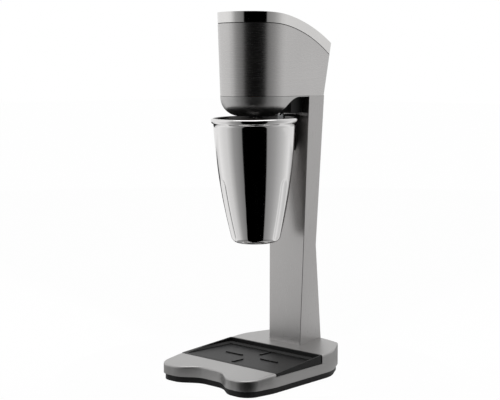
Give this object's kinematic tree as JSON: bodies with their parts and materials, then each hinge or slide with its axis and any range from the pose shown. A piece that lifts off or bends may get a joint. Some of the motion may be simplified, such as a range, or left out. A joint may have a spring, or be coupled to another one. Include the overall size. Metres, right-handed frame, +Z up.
{
  "type": "milkshake mixer",
  "caption": "Stand mixer for milkshakes: teardrop motor head on a flared column, steel cup hanging over a spindle, sloped base with drip tray.",
  "frame": {"origin": "middle of the mixer seen from above, at table level", "axes": "+Z up, -Y to the front where the cup and the drip tray are, +X to the right seen from the front"},
  "size_m": [0.175, 0.2175, 0.485],
  "materials": {
    "brushed_shell": "brushed along the height, satin",
    "polished_lid": "polished",
    "polished_cup": "mirror polished stainless steel",
    "black_plastic": "moulded, fine grain",
    "black_rubber": "matt",
    "zinc_steel": "zinc plated",
    "lamination": "stacked sheet, varnished",
    "copper": "enamelled copper and bronze",
    "carbon": "pressed carbon"
  },
  "bodies": {
    "stand": {"base_shell": "brushed_shell", "base_plate": "black_plastic", "rubber_feet": "black_rubber", "base_screws": "zinc_steel", "column_shell": "brushed_shell", "column_back_cover": "brushed_shell", "back_cover_screws": "zinc_steel", "cable_gland": "black_rubber", "column_post": "zinc_steel", "column_bolts": "zinc_steel", "column_nuts": "zinc_steel", "terminal_block": "black_plastic", "head_shell": "brushed_shell", "lid_gasket": "black_rubber", "lid": "polished_lid", "lid_screws": "zinc_steel", "head_chin": "brushed_shell", "splash_seal": "black_rubber", "motor_platform": "zinc_steel", "platform_bolts": "zinc_steel", "lower_bush": "copper", "upper_bush": "copper", "stator_core": "lamination", "field_coils": "copper", "motor_pillars": "zinc_steel", "motor_bolts": "zinc_steel", "upper_yoke": "zinc_steel", "brush_holders": "black_plastic", "carbon_brushes": "carbon", "brush_springs": "zinc_steel", "cup_bracket": "black_plastic", "bracket_screws": "zinc_steel", "cup_clip": "zinc_steel", "switch_housing": "black_plastic", "microswitch": "black_plastic", "plunger_spring": "zinc_steel"},
    "rotor": {"motor_shaft": "zinc_steel", "cooling_fan": "black_plastic", "armature_core": "lamination", "armature_windings": "copper", "commutator": "copper", "spindle_coupling": "zinc_steel", "agitator_shaft": "polished_cup", "agitator_disc": "polished_cup", "agitator_nut": "polished_cup"},
    "cup": {"mixing_cup": "polished_cup"},
    "tray": {"drip_tray": "black_plastic"},
    "plunger": {"switch_plunger": "black_plastic"}
  },
  "joints": [
    {"name": "spindle_spin", "type": "hinge", "parent": "stand", "child": "rotor", "pos_m": [0, -0.0065, 0.35], "axis": [0, 0, 1], "continuous": true},
    {"name": "cup_pull_down", "type": "slide", "parent": "stand", "child": "cup", "axis": [0, 0, -1], "range_m": [0, 0.13]},
    {"name": "tray_lift", "type": "slide", "parent": "stand", "child": "tray", "axis": [0, 0, 1], "range_m": [0, 0.015]},
    {"name": "switch_press", "type": "slide", "parent": "stand", "child": "plunger", "axis": [0, 0, 1], "range_m": [0, 0.003], "stiffness_N_per_m": 400, "springref_m": -0.003, "deforming": ["plunger_spring"]}
  ]
}
